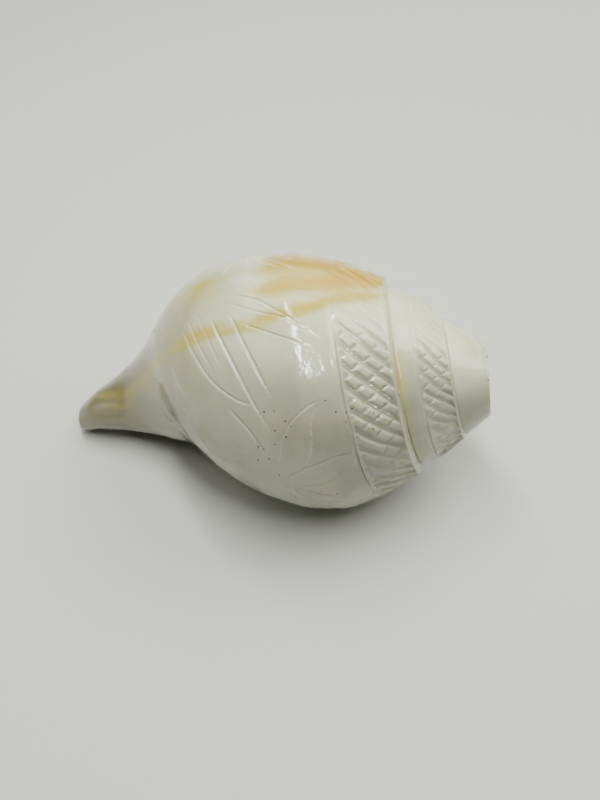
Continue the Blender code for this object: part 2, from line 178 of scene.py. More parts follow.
# ---- Leaf and flower cuts on the side that faces the viewer: (s, azimuth) points, width, depth ----
LEAF_CUTS = (
    (((71.7, 97), (79.1, 116), (85.4, 133)), 1.9, 0.50),
    (((64.8, 96), (76.0, 125), (84.9, 149)), 1.8, 0.45),
    (((59.3, 91), (65.5, 108), (70.2, 122)), 1.3, 0.22),
    (((54.6, 97), (60.4, 113), (67.0, 126), (75.8, 134), (78.7, 135)), 1.7, 0.42),
    (((56.8, 94), (61.5, 108), (66.8, 121)), 1.4, 0.30),
    (((70.4, 87), (78.7, 91), (87.7, 99), (100.3, 111)), 1.5, 0.40),
    (((69.5, 91), (81.0, 98), (89.6, 102), (100.5, 112)), 1.3, 0.35),
    (((76.8, 103), (85.7, 108), (97.2, 114)), 1.4, 0.42),
    (((48.6, 108), (52.0, 121), (56.6, 134)), 1.5, 0.35),
    (((50.4, 120), (53.5, 127), (56.6, 133)), 1.2, 0.25),
    (((51.8, 133), (55.2, 138)), 1.3, 0.30),
    (((57.2, 142), (59.5, 158), (61.2, 177)), 1.4, 0.28),
    (((45.1, 143), (50.2, 161)), 1.2, 0.25),
    (((70.8, 136), (76.5, 145), (79.3, 151), (82.0, 159)), 2.2, 0.52),
    (((84.1, 165), (86.3, 152), (90.7, 142), (96.8, 136), (99.2, 135)), 1.3, 0.26),
    (((93.2, 161), (95.6, 153), (96.3, 142), (98.4, 136)), 1.3, 0.25),
    (((84.6, 168), (89.5, 164), (93.2, 160), (95.9, 152)), 1.2, 0.22),
    (((85.0, 170), (93.6, 163), (103.0, 160), (107.4, 160)), 1.4, 0.30),
    (((107.6, 163), (98.6, 173), (89.1, 175), (85.0, 171)), 1.3, 0.26),
    (((84.2, 167), (82.9, 160), (82.1, 154)), 1.4, 0.28),
    (((85.5, 172), (93.0, 179), (100.3, 185)), 1.4, 0.34),
    (((85.4, 173), (90.0, 183), (98.0, 196)), 1.4, 0.32),
    (((86.0, 173), (94.0, 185), (103.6, 200)), 1.3, 0.28),
    (((84.2, 173), (86.5, 185), (91.0, 199)), 1.4, 0.32),
    (((83.6, 172), (81.0, 183), (80.0, 196)), 1.3, 0.26),
    (((63.3, 168), (67.0, 164), (71.6, 162)), 1.3, 0.30),
)
FEATHER_CUTS = 9  # fine strokes side by side on the neck
FEATHER_FIRST = (41.0, 138.0)  # where the first and the last begin, and how far each runs
FEATHER_LAST = (52.0, 166.0)
FEATHER_REACH = (4.5, 26.0)
FEATHER_WIDTH = 1.3
FEATHER_DEPTH = 0.30
CUT_MARGIN = (3.0, 5.0)  # how far beyond a cut's ends its edges may reach
CUT_DEPTH = 1.15  # times the depths listed
CUT_HALF = 0.34  # half a cut's width, as a share of the width listed
STEEP_SIDE = 1.45  # one side of a cut is steeper than the other
EASY_SIDE = 0.8
BURR = 0.13  # share of a cut's depth that is pushed up beside it
MOTIF_TURNS = (0.0, 120.0, -120.0)  # the leaves and flower repeat round the shell


# ---- Curves ----
def smooth_curve(points):
    """Return f(x), a curve through the points that never overshoots them."""
    x = np.array([p[0] for p in points], float)
    y = np.array([p[1] for p in points], float)
    h = np.diff(x)
    d = np.diff(y) / h
    m = np.concatenate([[d[0]], np.zeros(len(x) - 2), [d[-1]]])
    w1 = 2.0 * h[1:] + h[:-1]
    w2 = h[1:] + 2.0 * h[:-1]
    same = d[:-1] * d[1:] > 0.0
    mean = w1 / np.where(same, d[:-1], 1.0) + w2 / np.where(same, d[1:], 1.0)
    m[1:-1] = np.where(same, (w1 + w2) / np.where(same, mean, 1.0), 0.0)

    def curve(value):
        value = np.asarray(value, float)
        k = np.clip(np.searchsorted(x, value, side="right") - 1, 0, len(x) - 2)
        u = np.clip((value - x[k]) / h[k], 0.0, 1.0)
        rise = y[k] * (1 + 2 * u) * (1 - u) ** 2 + y[k + 1] * u * u * (3 - 2 * u)
        rise = rise + h[k] * (m[k] * u * (1 - u) ** 2 + m[k + 1] * u * u * (u - 1))
        return rise + np.minimum(value - x[0], 0.0) * m[0] + np.maximum(value - x[-1], 0.0) * m[-1]

    return curve


def smooth_step(low, high, value):
    u = np.clip((value - low) / (high - low), 0.0, 1.0)
    return u * u * (3.0 - 2.0 * u)


def rounding(distance, radius):
    """How far a corner of that radius falls away, at a distance from its end."""
    inward = np.clip(radius - distance, 0.0, radius)
    return radius - np.sqrt(radius * radius - inward * inward)


outline = smooth_curve(OUTLINE)
canal_radius = smooth_curve([(s, r) for s, r, sag in CANAL])
canal_sag_curve = smooth_curve([(s, sag) for s, r, sag in CANAL])
spire_cone = smooth_curve(SPIRE_CONE)


# ---- The shell's form ----
def scale(azimuth):
    """Size of the whorl at an azimuth, as a share of its size at the sizing azimuth."""
    slack = EASE_WIDTH * np.log1p(np.exp((EASE_AZIMUTH - azimuth) / EASE_WIDTH))
    eased = azimuth + (1.0 - LIP_EASE) * slack
    return WHORL_RATIO ** (-(eased - SIZE_AZIMUTH) / 360.0)


def suture(azimuth):
    """Where the whorl's upper edge lies."""
    return POLE - SUTURE * scale(azimuth)


def whorl_radius(s, azimuth):
    """Outside radius of the spiral whorl, before the canal and the cone are blended in."""
    g = scale(azimuth)
    radius = outline((POLE - s) / g)
    past = np.maximum((POLE - s) / g / SUTURE - 1.0, 0.0) / (WHORL_RATIO - 1.0)
    fullness = INNER_FULLNESS * smooth_step(FULL_FROM, FULL_TO, azimuth)
    radius = radius + fullness * (past * np.exp(1.0 - past)) ** 1.5
    flare = 1.0 - smooth_step(LIP_AZIMUTH, LIP_AZIMUTH + FLARE_ANGLE, azimuth)
    radius = radius + LIP_FLARE * flare * smooth_step(*FLARE_STARTS, s)
    bell = np.maximum(1.0 - ((s - SLIM_PLACE) / SLIM_REACH) ** 2, 0.0) ** 2
    radius = radius - SLIMMING * bell * (1.0 - smooth_step(SLIM_FROM, SLIM_TO, azimuth))
    return radius * g


def radius_at(s, azimuth):
    """Outside radius of the plain shell on the whorl that passes an azimuth."""
    s, azimuth = np.broadcast_arrays(np.asarray(s, float), np.asarray(azimuth, float))
    radius = whorl_radius(s, azimuth)
    buried = smooth_step(LIP_AZIMUTH + BURIED_FROM, LIP_AZIMUTH + BURIED_TO, azimuth)
    neck = canal_radius(s) * (1.0 - buried) + COLUMELLA * scale(azimuth - 360.0) * buried
    blended = 0.5 * (radius + neck + np.sqrt((radius - neck) ** 2 + CANAL_BLEND ** 2))
    radius = np.where(s < CANAL_REACH, blended, radius)
    covered_to = suture(azimuth - 360.0)
    cone = smooth_step(CONE_FROM, CONE_TO, azimuth) * smooth_step(covered_to - CONE_LEAD, covered_to, s)
    radius = radius + cone * (spire_cone(s) - radius)
    turned = (azimuth + 270.0) % 360.0 - 180.0
    under = (1.0 - smooth_step(0.0, BELLY_HALF_ANGLE, np.abs(turned))) * (azimuth > 180.0)
    return radius - BELLY_FLAT * under * smooth_step(*BELLY_STARTS, s) * (1.0 - smooth_step(*BELLY_ENDS, s))


def canal_sag(s):
    """How far the canal hangs below the coil axis."""
    return np.where(s < SAG_END, np.maximum(canal_sag_curve(s), 0.0), 0.0)


def place(s, radius, azimuth):
    """Points in the shell's own upright frame, in millimetres, with the coil axis along X."""
    s, radius, azimuth = np.broadcast_arrays(s, radius, azimuth)
    a = np.radians(azimuth)
    return np.stack([s, radius * np.cos(a), radius * np.sin(a) - canal_sag(s)], axis=-1)


LIE_DOWN = Matrix.Translation(Vector(AXIS_PLACE) * MM) @ Matrix.Rotation(math.radians(YAW), 4, "Z")
LIE_DOWN = LIE_DOWN @ Matrix.Rotation(math.radians(-PITCH), 4, "Y")


# ---- Carving ----
def across_band(s, azimuth):
    """0 at a whorl's upper edge, 1 where the whorl before would cover it."""
    g = scale(azimuth)
    return (POLE - s) / (SUTURE * g) / (WHORL_RATIO - 1.0) - 1.0 / (WHORL_RATIO - 1.0)


def sway(azimuth, period, shift):
    """A slow waver, so that no two hand cuts are alike."""
    return np.sin(azimuth / period + shift) + 0.6 * np.sin(azimuth / period * 2.7 + 2.1 * shift)


def cut_row(phase, width, lean=0.0):
    """Depth share of a row of soft V cuts, at a phase counted in cuts; lean moves the V's bottom."""
    across = (phase + 0.5) % 1.0 - 0.5
    half = 0.5 * width
    rising = (across + half) / (half * (1.0 + lean))
    falling = (half - across) / (half * (1.0 - lean))
    return smooth_step(0.0, 1.0, np.minimum(rising, falling))


def light_patch(azimuth):
    """1 where the band is cut only finely, on top of the shell."""
    start, full, fades, end = LIGHT_PATCH
    around = azimuth % 360.0
    return smooth_step(start, full, around) * (1.0 - smooth_step(fades, end, around))


def lattice(s, azimuth):
    """Depth of the lattice cuts, in millimetres at the sizing azimuth."""
    v = across_band(s, azimuth) / BAND
    light = light_patch(azimuth + LIGHT_LEAN * v)
    strength = 1.0 - (1.0 - LIGHT_SHARE) * light
    middle, reach, share = SHALLOW
    strength = strength * (1.0 - share * np.exp(-((azimuth % 360.0 - middle) / reach) ** 2))
    narrow = 1.0 - LIGHT_NARROWING * light
    above = azimuth > COUNT_CHANGE
    count = np.where(above, CUTS_ABOVE, CUTS) / 360.0
    lean = azimuth - np.where(above, LONG_PLACE_ABOVE, LONG_PLACE) + LONG_LEAN * v
    phase = (lean + (0.5 + 0.6 * above) * sway(azimuth, 9.0, 0.4)) * count
    long_cut = cut_row(phase, LONG_WIDTH * narrow, 0.5) * (1.0 + 0.12 * sway(azimuth, 5.0, 1.0))
    bar = np.floor(phase)
    cross = azimuth - CROSS_PLACE + CROSS_LEAN * v + 0.5 * sway(azimuth, 6.1, 2.2) + 1.3 * np.sin(2.4 * bar)
    cross_phase = cross * count
    cross_cut = cut_row(cross_phase, CROSS_WIDTH, -0.3)
    cross_cut = cross_cut * np.clip(0.85 + 0.35 * np.sin(5.1 * np.floor(cross_phase) + 1.7 * bar), 0.2, 1.2)
    cross_cut = cross_cut * (1.0 - light) ** 1.5
    inside = smooth_step(0.03, 0.12, v) * (1.0 - smooth_step(0.90, 0.97, v))
    fade = 1.0 - smooth_step(BAND_END - BAND_FADE, BAND_END, azimuth)
    fade = fade * smooth_step(1.0, 6.0, np.abs(azimuth - COUNT_CHANGE))
    tilt = BAR_SLOPE * (phase % 1.0 - 0.5) + SUNK
    deep = np.maximum(LONG_DEPTH * long_cut, CROSS_DEPTH * cross_cut) + tilt * (1.0 - light)
    return deep * strength * inside * fade


def borders(s, azimuth):
    """Depth of the lines that run along the lower edge of the lattice."""
    width = SUTURE * scale(azimuth) * (WHORL_RATIO - 1.0)
    away = (across_band(s, azimuth) - BAND) * width
    depth = BORDER_DEPTH * np.exp(-((away - 0.2 * sway(azimuth, 14.0, 0.3)) / 0.42) ** 2)
    depth = depth - 0.6 * BORDER_DEPTH * np.exp(-((away + 0.75) / 0.45) ** 2)
    for offset, share in BORDER_LINES:
        patchy = np.clip(0.5 + 0.6 * sway(azimuth, 11.0, offset), 0.0, 1.0)
        depth = depth + BORDER_DEPTH * share * patchy * np.exp(-((away - offset) / 0.26) ** 2)
    depth = depth * (1.0 - BORDER_WORN * light_patch(azimuth))
    return depth * (1.0 - smooth_step(BAND_END - BAND_FADE, BAND_END, azimuth))


def bend(points, count):
    """More points along a smooth curve through a few."""
    p = np.array(points, float)
    t = np.arange(len(p), dtype=float)
    fine = np.linspace(0.0, len(p) - 1.0, count)
    along = smooth_curve(list(zip(t, p[:, 0])))
    round_it = smooth_curve(list(zip(t, p[:, 1])))
    return np.stack([along(fine), round_it(fine)], axis=-1)


def all_cuts():
    """Every leaf, flower and feather cut on the shell, as (points, width, depth)."""
    cuts = [(bend(points, 14), width, depth) for points, width, depth in LEAF_CUTS]
    for k in range(FEATHER_CUTS):
        u = k / (FEATHER_CUTS - 1.0)
        s = FEATHER_FIRST[0] + (FEATHER_LAST[0] - FEATHER_FIRST[0]) * u
        a = FEATHER_FIRST[1] + (FEATHER_LAST[1] - FEATHER_FIRST[1]) * u
        reach = 1.0 + 0.3 * math.sin(5.0 * k)
        end = (s + FEATHER_REACH[0] * reach, a + FEATHER_REACH[1] * reach)
        middle = (s + 0.35 * FEATHER_REACH[0], a + 0.55 * FEATHER_REACH[1])
        cuts.append((bend(((s, a), middle, end), 12), FEATHER_WIDTH, FEATHER_DEPTH))
    everywhere = []
    for turn in MOTIF_TURNS:
        for points, width, depth in cuts:
            azimuth = points[:, 1] + turn
            shrink = scale(azimuth) / scale(points[:, 1])
            moved = np.stack([POLE - (POLE - points[:, 0]) * shrink, azimuth], axis=-1)
            everywhere.append((moved, width, depth))
    return everywhere


def leaf_relief(s, azimuth, radius):
    """Depth of the leaf and flower cuts at points of the last whorl."""
    depth = np.zeros_like(s)
    for points, width, strength in all_cuts():
        low = points.min(axis=0)
        high = points.max(axis=0)
        near = (s > low[0] - CUT_MARGIN[0]) & (s < high[0] + CUT_MARGIN[0])
        near = near & (azimuth > low[1] - CUT_MARGIN[1]) & (azimuth < high[1] + CUT_MARGIN[1])
        if not near.any():
            continue
        at_s = s[near]
        at_a = azimuth[near]
        girth = math.radians(1.0) * float(np.median(radius[near]))
        best = np.full(at_s.shape, 9.0)
        share = np.zeros(at_s.shape)
        pieces = len(points) - 1
        for k in range(pieces):
            ax = points[k, 0]
            ay = points[k, 1] * girth
            dx = points[k + 1, 0] - ax
            dy = points[k + 1, 1] * girth - ay
            px = at_s - ax
            py = at_a * girth - ay
            t = np.clip((px * dx + py * dy) / (dx * dx + dy * dy), 0.0, 1.0)
            away = np.hypot(px - t * dx, py - t * dy)
            side = np.sign(px * dy - py * dx)
            away = away * np.where(side > 0.0, STEEP_SIDE, EASY_SIDE)
            closer = away < best
            best = np.where(closer, away, best)
            share = np.where(closer, (k + t) / pieces, share)
        taper = np.clip(1.6 * np.sin(math.pi * np.clip(share, 0.0, 1.0) ** 0.8), 0.0, 1.0) ** 0.7
        half = CUT_HALF * width * (0.3 + 0.7 * taper)
        groove = np.clip(1.0 - best / half, 0.0, 1.0)
        burr = BURR * np.exp(-((best - 1.15 * half) / (0.35 * half)) ** 2)
        groove = groove - burr
        here = CUT_DEPTH * strength * taper * groove
        depth[near] = np.where(np.abs(here) > np.abs(depth[near]), here, depth[near])
    return depth


def polish_waves(s, azimuth):
    """The faint ripple that hand grinding leaves."""
    wave = np.sin(0.19 * s + 0.061 * azimuth) * np.sin(0.31 * s - 0.083 * azimuth + 1.3)
    fine = np.sin(0.71 * s + 0.26 * azimuth + 0.8) * np.sin(0.53 * s - 0.31 * azimuth)
    crinkle = np.sin(1.9 * s + 0.35 * azimuth + 2.0 * np.sin(0.5 * s)) * np.sin(0.45 * s - 0.62 * azimuth)
    return 0.045 * wave + 0.020 * fine + 0.013 * crinkle


def chipped(s, azimuth):
    """Share of a chip's depth at a place near the apex cut."""
    share = np.zeros_like(s + azimuth)
    for at in CHIPS:
        away = (azimuth - at + 180.0) % 360.0 - 180.0
        share = share + np.exp(-(away / CHIP_WIDTH) ** 2)
    return share * smooth_step(CUT - CHIP_HEIGHT, CUT - 0.3 * CHIP_HEIGHT, s)


def stroke_depth(s, azimuth, radius):
    """Depth of the leaf and flower cuts below the carved band."""
    return leaf_relief(s, azimuth, radius) * smooth_step(BAND + 0.01, BAND + 0.06, across_band(s, azimuth))


def carved_depth(s, azimuth, radius, last_whorl):
    """Depth of all the carving."""
    g = np.minimum(scale(azimuth), 1.0)
    depth = (lattice(s, azimuth) + borders(s, azimuth)) * g ** 0.6
    if last_whorl:
        depth = depth + stroke_depth(s, azimuth, radius)
    return depth


# ---- Outer surface ----
def azimuth_columns():
    """Azimuths of the mesh columns in one turn."""
    found = []
    for start, end, step in AZIMUTH_STEPS:
        count = round((end - start) / step)
        found.extend(start + (end - start) * k / count for k in range(count))
    return np.array(found)


def band_bottom(turn, azimuth):
    """Lower end of the exposed band at an azimuth, as a distance along the axis."""
    if turn > 0:
        return suture(azimuth - 360.0) + STEP_RUN * scale(azimuth - 360.0)
    meet = smooth_step(LIP_AZIMUTH + 230.0, LIP_AZIMUTH + 360.0, azimuth)
    at_lip = scale(LIP_AZIMUTH)
    seam = (SUTURE - STEP_RUN) * at_lip / scale(LIP_AZIMUTH + 360.0)
    return POLE - scale(azimuth) * (SUTURE * WHORL_RATIO * (1.0 - meet) + seam * meet)


def finish_radius(s, azimuth, last_whorl):
    """Radius with carving, polish, and rounded lip, tip and cut end."""
    plain = radius_at(s, azimuth)
    radius = plain - carved_depth(s, azimuth, plain, last_whorl) + polish_waves(s, azimuth)
    radius = radius - CUT_ROUND_SHARE * rounding(np.maximum(CUT - s, 0.0), CUT_ROUND)
    radius = radius - CHIP_DEPTH * chipped(s, azimuth)
    if last_whorl:
        to_lip = np.radians(np.maximum(azimuth - LIP_AZIMUTH, 0.0)) * plain
        radius = radius - rounding(to_lip, LIP_ROUND) * smooth_step(2.0, 14.0, s)
        radius = radius - rounding(np.maximum(s, 0.0), TIP_ROUND)
    return radius


def band_points(turn, columns):
    """Rows across the exposed band of one turn, and down its step, for every column."""
    azimuth = columns + 360.0 * turn
    g = scale(azimuth)
    high = suture(azimuth)
    low = band_bottom(turn, azimuth)
    u = np.linspace(0.0, 1.0, BAND_ROWS)[:, None]
    s = low + (high - low) * u
    radius = finish_radius(s, azimuth + 0.0 * s, turn == 0)
    to_edge = high - s
    strength = 1.0 - smooth_step(BAND_END, CONE_FROM + 80.0, azimuth)
    radius = radius + strength * g * EDGE_RISE * np.exp(-(to_edge / EDGE_WIDTH) ** 2)
    radius = radius - strength * rounding(to_edge, EDGE_ROUND)
    rows = [place(s, radius, azimuth)]
    fade = smooth_step(LIP_AZIMUTH + 1.0, LIP_AZIMUTH + LIP_TUCK_ANGLE, azimuth)
    fade = fade * (1.0 - smooth_step(CONE_FROM - 60.0, CONE_TO - 30.0, azimuth))
    tuck = np.where(azimuth < LIP_AZIMUTH + LIP_TUCK_ANGLE, (1.0 - fade) * LIP_TUCK, 0.0)
    for offset, share in CREASE_ROWS:
        at = high + offset * g
        depth = CREASE_DEPTH * g * fade * share - tuck * (offset < 0.6)
        under = radius_at(at, azimuth + 360.0)
        if offset < 0.3:
            under = 0.5 * (under + radius[-1])
        rows.append(place(at, under - depth, azimuth)[None])
    return np.concatenate(rows, axis=0)


def grid_faces(index):
    """Quads between the rows and columns of an index grid."""
    a = index[:-1, :-1].ravel()
    b = index[:-1, 1:].ravel()
    c = index[1:, 1:].ravel()
    d = index[1:, :-1].ravel()
    return np.stack([a, b, c, d], axis=-1)


def zip_rows(first, second, along):
    """Triangles between two rows of vertex numbers that share both ends."""
    faces = []
    i = 0
    j = 0
    while i < len(first) - 1 or j < len(second) - 1:
        step_first = j == len(second) - 1
        if not step_first and i < len(first) - 1:
            step_first = along[first[i + 1]] <= along[second[j + 1]]
        if step_first:
            face = (first[i], first[i + 1], second[j])
            i += 1
        else:
            face = (first[i], second[j + 1], second[j])
            j += 1
        if len(set(face)) == 3:
            faces.append(face)
    return faces


def outer_surface():
    """Vertices in millimetres and faces of the closed outer surface."""
    columns = azimuth_columns()
    count = len(columns)
    closed = np.append(columns, LIP_AZIMUTH + 360.0)
    bands = np.concatenate([band_points(turn, columns) for turn in range(TURNS)], axis=1)
    last = band_points(TURNS, closed[:1])
    bands = np.concatenate([bands, last], axis=1)
    rows_in_band, band_columns = bands.shape[:2]

    cover = band_bottom(0, closed)
    u = np.linspace(0.0, 1.0, BODY_ROWS + 1)[:-1, None]
    s = cover * (0.75 * u + 0.25 * u * u)
    s = s + 0.0 * closed
    radius = finish_radius(s, closed + 0.0 * s, True)
    body = place(s, radius, closed)

    middle = [place(0.0, 0.0, 0.0), place(POLE, 0.0, 0.0)]
    points = np.concatenate([bands.reshape(-1, 3), body.reshape(-1, 3), np.array(middle)])
    band_index = np.arange(rows_in_band * band_columns).reshape(rows_in_band, band_columns)
    body_index = band_index.size + np.arange(body.shape[0] * body.shape[1]).reshape(body.shape[:2])
    tip = len(points) - 2
    pole = len(points) - 1

    quads = [grid_faces(band_index)]
    above = band_index[:1, count:]
    quads.append(grid_faces(np.concatenate([band_index[-1:, :band_columns - count], above], axis=0)))
    quads.append(grid_faces(np.concatenate([body_index, band_index[:1, :count + 1]], axis=0)))
    faces = [tuple(int(v) for v in face) for block in quads for face in block]

    along = points[:, 0]
    for i in range(count):
        faces.append((tip, int(body_index[0, i + 1]), int(body_index[0, i])))
    rim = band_index[-1, band_columns - count - 1:]
    for a, b in zip(rim[:-1], rim[1:]):
        faces.append((int(a), int(b), pole))
    seam = [int(v) for v in band_index[:, -1]]
    faces.append((int(rim[0]), pole, seam[0]))
    for a, b in zip(seam, seam[1:]):
        faces.append((a, pole, b))
    shared = int(band_index[0, count])
    lip_edge = [int(v) for v in body_index[:, 0]] + [int(v) for v in band_index[:, 0]] + [shared]
    inner_edge = [int(v) for v in body_index[:, -1]] + [shared]
    faces.append((tip, lip_edge[0], inner_edge[0]))
    faces.extend(zip_rows(lip_edge, inner_edge, along))
    return points, faces


# ---- Hollow ----
def hollow_ring(azimuth):
    """Closed ring round the hollow at an azimuth, as arrays of s and radius."""
    g = scale(azimuth)
    top = suture(azimuth) - HOLLOW_SHOULDER * g
    closed = POLE - HOLLOW_FOOT * g
    channel = 1.0 - smooth_step(LIP_AZIMUTH + 40.0, LIP_AZIMUTH + 110.0, azimuth)
    bottom = closed + (-MOUTH_OVERRUN - closed) * channel
    s = np.linspace(bottom, top, HOLLOW_POINTS)
    at = np.maximum(s, 0.5)
    wall = WALL_AT_TIP + (WALL - WALL_AT_TIP) * smooth_step(0.0, 45.0, s)
    floor = radius_at(at, azimuth + 360.0)
    floor = floor * (1.0 - channel * (1.0 - CHANNEL_FLOOR) * (1.0 - smooth_step(0.0, 40.0, s)))
    floor = np.maximum(floor, COLUMELLA * g * smooth_step(25.0, 50.0, s)) + CALLUS * min(g, 1.0)
    for pleat in PLEATS:
        floor = floor + PLEAT_HEIGHT * g * np.exp(-((s - POLE + pleat * g) / (PLEAT_WIDTH * g)) ** 2)
    outside = radius_at(at, max(azimuth, LIP_AZIMUTH))
    to_lip = np.radians(max(azimuth - LIP_AZIMUTH, 0.0)) * outside
    ceiling = outside - wall * g + rounding(to_lip, LIP_ROUND) * smooth_step(2.0, 30.0, s)
    ends = np.sin(np.linspace(0.0, math.pi, HOLLOW_POINTS)) ** 0.35
    middle = 0.5 * (ceiling + np.minimum(floor, ceiling - HOLLOW_GAP * g))
    half = 0.5 * (ceiling - np.minimum(floor, ceiling - HOLLOW_GAP * g))
    half = half * np.where(s > 0.5 * (bottom + top), np.maximum(ends, 0.3), 1.0)
    return np.concatenate([s, s[::-1]]), np.concatenate([middle + half, (middle - half)[::-1]])


def hollow_surface():
    """Vertices in millimetres and faces of the closed hollow, swept from the lip up into the spire."""
    start = LIP_AZIMUTH - MOUTH_ANGLE
    steps = math.ceil((HOLLOW_END - start) / HOLLOW_STEP)
    rings = []
    for k in range(steps + 1):
        azimuth = start + (HOLLOW_END - start) * k / steps
        s, radius = hollow_ring(azimuth)
        rings.append(place(s, radius, azimuth))
    rings = np.array(rings)
    count = rings.shape[1]
    index = np.arange(rings.shape[0] * count).reshape(rings.shape[:2])
    index = np.concatenate([index, index[:, :1]], axis=1)
    faces = [tuple(int(v) for v in face) for face in grid_faces(index)]
    for ring in (index[0], index[-1]):
        for m in range(count // 2 - 1):
            faces.append(tuple(int(ring[v]) for v in (m, m + 1, count - 2 - m, count - 1 - m)))
    return rings.reshape(-1, 3), faces


# ---- Mesh objects ----
def closed_object(name, points, faces):
    """A closed mesh object, from points in the shell's upright frame."""
    mesh = bpy.data.meshes.new(name)
    mesh.from_pydata((points * MM).tolist(), [], faces)
    bm = bmesh.new()
    bm.from_mesh(mesh)
    bmesh.ops.remove_doubles(bm, verts=bm.verts, dist=1e-6)
    bmesh.ops.recalc_face_normals(bm, faces=bm.faces)
    if bm.calc_volume(signed=True) < 0.0:
        bmesh.ops.reverse_faces(bm, faces=bm.faces)
    bm.to_mesh(mesh)
    bm.free()
    obj = bpy.data.objects.new(name, mesh)
    bpy.context.scene.collection.objects.link(obj)
    obj.matrix_world = LIE_DOWN
    return obj


def bore_cutter():
    """The straight bore from the cut face down to the end of the hollow."""
    inside = Vector(place(BORE_END, BORE_DEPTH_RADIUS, BORE_AZIMUTH)) * MM
    mouth = Vector(place(CUT, BORE_OFFSET, BORE_AZIMUTH)) * MM
    along = (mouth - inside).normalized()
    outside = mouth + along * BORE_OVERRUN * MM
    turn = along.to_track_quat("Z", "Y").to_matrix().to_4x4()
    half = BORE_DIAMETER / 2.0 * MM
    bm = bmesh.new()
    bmesh.ops.create_cone(bm, cap_ends=True, segments=BORE_SIDES, radius1=half, radius2=half,
                          depth=(outside - inside).length,
                          matrix=Matrix.Translation((inside + outside) / 2.0) @ turn)
    return object_from(bm, "bore cutter", LIE_DOWN)


def slab_cutter(name, matrix):
    """A block that stands on the plane across the matrix's own X, on its +X side."""
    bm = bmesh.new()
    bmesh.ops.create_cube(bm, size=SLAB * MM, matrix=Matrix.Translation((SLAB / 2.0 * MM, 0.0, 0.0)))
    return object_from(bm, name, matrix)


def object_from(bm, name, matrix):
    """An object in the scene, from a mesh being built, which is freed."""
    mesh = bpy.data.meshes.new(name)
    bm.to_mesh(mesh)
    bm.free()
    obj = bpy.data.objects.new(name, mesh)
    bpy.context.scene.collection.objects.link(obj)
    obj.matrix_world = matrix
    return obj


def apply_modifiers(obj):
    """Keep the mesh that the modifiers make, and drop them."""
    bpy.context.view_layer.update()
    evaluated = obj.evaluated_get(bpy.context.evaluated_depsgraph_get())
    mesh = bpy.data.meshes.new_from_object(evaluated)
    obj.modifiers.clear()
    old = obj.data
    obj.data = mesh
    bpy.data.meshes.remove(old)


def cut_away(target, cutter):
    """Take one closed shape out of another, and drop the cutter."""
    modifier = target.modifiers.new("cut", "BOOLEAN")
    modifier.operation = "DIFFERENCE"
    modifier.solver = "MANIFOLD"
    modifier.object = cutter
    apply_modifiers(target)
    bpy.data.objects.remove(cutter, do_unlink=True)


def build_shell():
    """The whole shell: outside, hollow, apex cut, bore and worn spots."""
    shell = closed_object("carved_shell", *outer_surface())
    triangles = sum(len(p.vertices) - 2 for p in shell.data.polygons)
    slimmer = shell.modifiers.new("slimmer", "DECIMATE")
    slimmer.ratio = OUTSIDE_FACES / triangles
    apply_modifiers(shell)
    cut_away(shell, closed_object("hollow cutter", *hollow_surface()))
    cut_away(shell, slab_cutter("apex cutter", LIE_DOWN @ Matrix.Translation((CUT * MM, 0.0, 0.0))))
    cut_away(shell, bore_cutter())
    cut_away(shell, slab_cutter("ground cutter", Matrix.Rotation(math.radians(90.0), 4, "Y")))
    bm = bmesh.new()
    bm.from_mesh(shell.data)
    bm.transform(shell.matrix_world)
    bmesh.ops.triangulate(bm, faces=bm.faces)
    bm.to_mesh(shell.data)
    bm.free()
    shell.matrix_world = Matrix.Identity(4)
    shell.data.shade_smooth()
    shell.data.set_sharp_from_angle(angle=math.radians(SHARP_ANGLE))
    return shell


# ---- Colours and markings ----
# The ground is painted light and shade: pearl for the shaded front and underside, milk for the lit top and
# back
PEARL_PAINTED_SHADE = (0.25, 0.255, 0.175)
MILK_PAINTED_LIGHT = (0.61, 0.635, 0.42)
YELLOW = (0.45, 0.37, 0.065)
ORANGE = (0.47, 0.27, 0.010)
CANAL_TAN = (0.125, 0.108, 0.058)
NECK_TAN = (0.26, 0.235, 0.09)
OLIVE = (0.20, 0.155, 0.035)  # streaks where they cross the tan canal
PEACH = (0.48, 0.33, 0.19)  # the inside
DUST_AND_PAINTED_SHADE = (0.20, 0.18, 0.11)  # dust and painted shade in the carving
PALE_CUT_LINES = (0.56, 0.57, 0.47)  # paler colour in the leaf and flower cuts
SPECK = (0.03, 0.025, 0.02)
PAPER = ((0.50, 0.505, 0.455), (0.515, 0.52, 0.47))

PAINTED_LIGHT_STARTS = (290.0, 350.0)  # azimuths where painted shade (pearl) turns to painted light (milk)
PAINTED_LIGHT_ENDS = (92.0, 148.0)  # and back
PAINTED_LIGHT_MOVES = (620.0, 700.0, 18.0)  # in the spire that end moves on by so many degrees
TAN_TOP = (86.0, 42.0)  # azimuth where canal and neck are most tan, and reach
NECK_ENDS = (40.0, 80.0)  # s between which the tan goes
CANAL_ENDS = (16.0, 54.0)
CREASE_STAIN = (126.0, 16.0)  # azimuth where the crease is most stained, and reach
CREASE_STAIN_ENDS = (620.0, 680.0)

